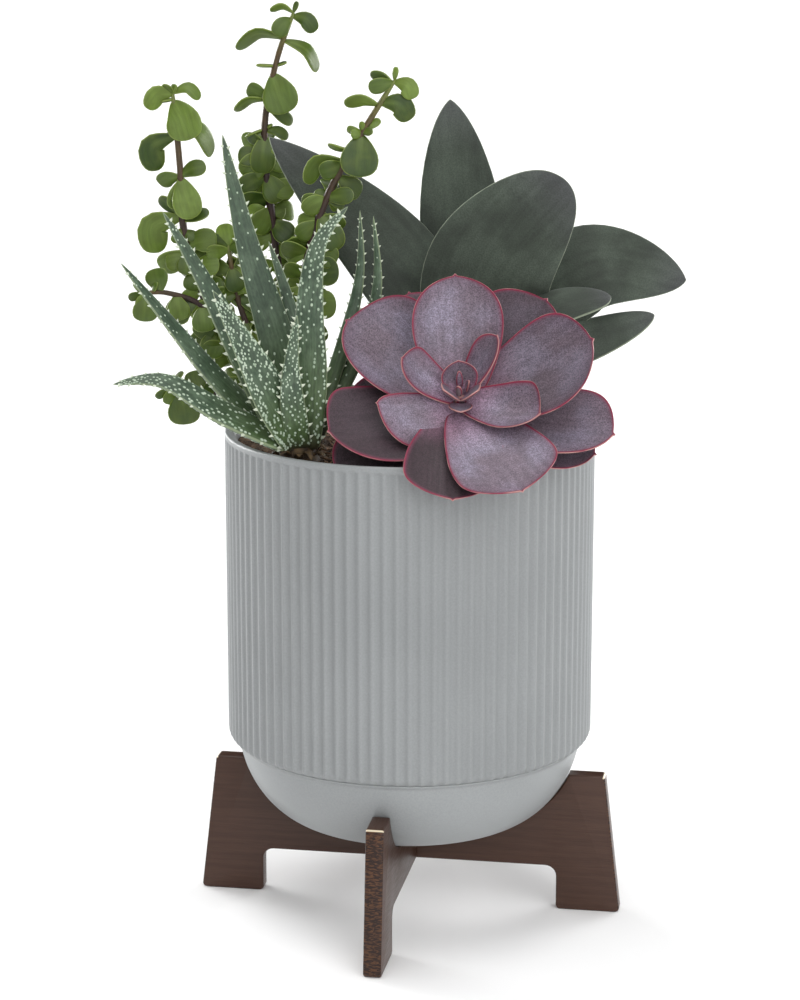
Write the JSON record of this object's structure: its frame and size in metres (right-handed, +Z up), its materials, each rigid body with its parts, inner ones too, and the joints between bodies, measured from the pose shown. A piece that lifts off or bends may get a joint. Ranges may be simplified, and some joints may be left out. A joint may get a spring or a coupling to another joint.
{
  "type": "succulent dish garden",
  "caption": "Succulents planted together in a ribbed round ceramic pot that sits in a crossed wooden plank stand.",
  "frame": {"origin": "on the floor under the middle of the whole object, which is the pot's axis to within 2 mm", "axes": "+Z up, -Y toward the front with the purple rosette, +X to the right seen from the front"},
  "size_m": [0.197, 0.1627, 0.3195],
  "materials": {
    "wood": "dark stained walnut, satin oil finish with softly rounded edges",
    "ceramic": "matte cool grey, fine vertical ribs",
    "soil": "dark crumbly potting soil with fibres",
    "rosette_leaf": "dusty purple-grey waxy leaf with crimson margins",
    "propeller_leaf": "matte dark grey-green leaf with thin pale margins",
    "aloe_leaf": "grey-green satin leaf with white raised dots and teeth",
    "bush_leaf": "glossy mid-green small leaf on red-brown stems"
  },
  "bodies": {
    "root": {"stand_plank_side": "wood", "stand_plank_front": "wood", "pot": "ceramic", "soil": "soil", "rosette": "rosette_leaf", "propeller_plant": "propeller_leaf", "aloe": "aloe_leaf", "elephant_bush_front": "bush_leaf", "elephant_bush_back": "bush_leaf"}
  },
  "joints": []
}
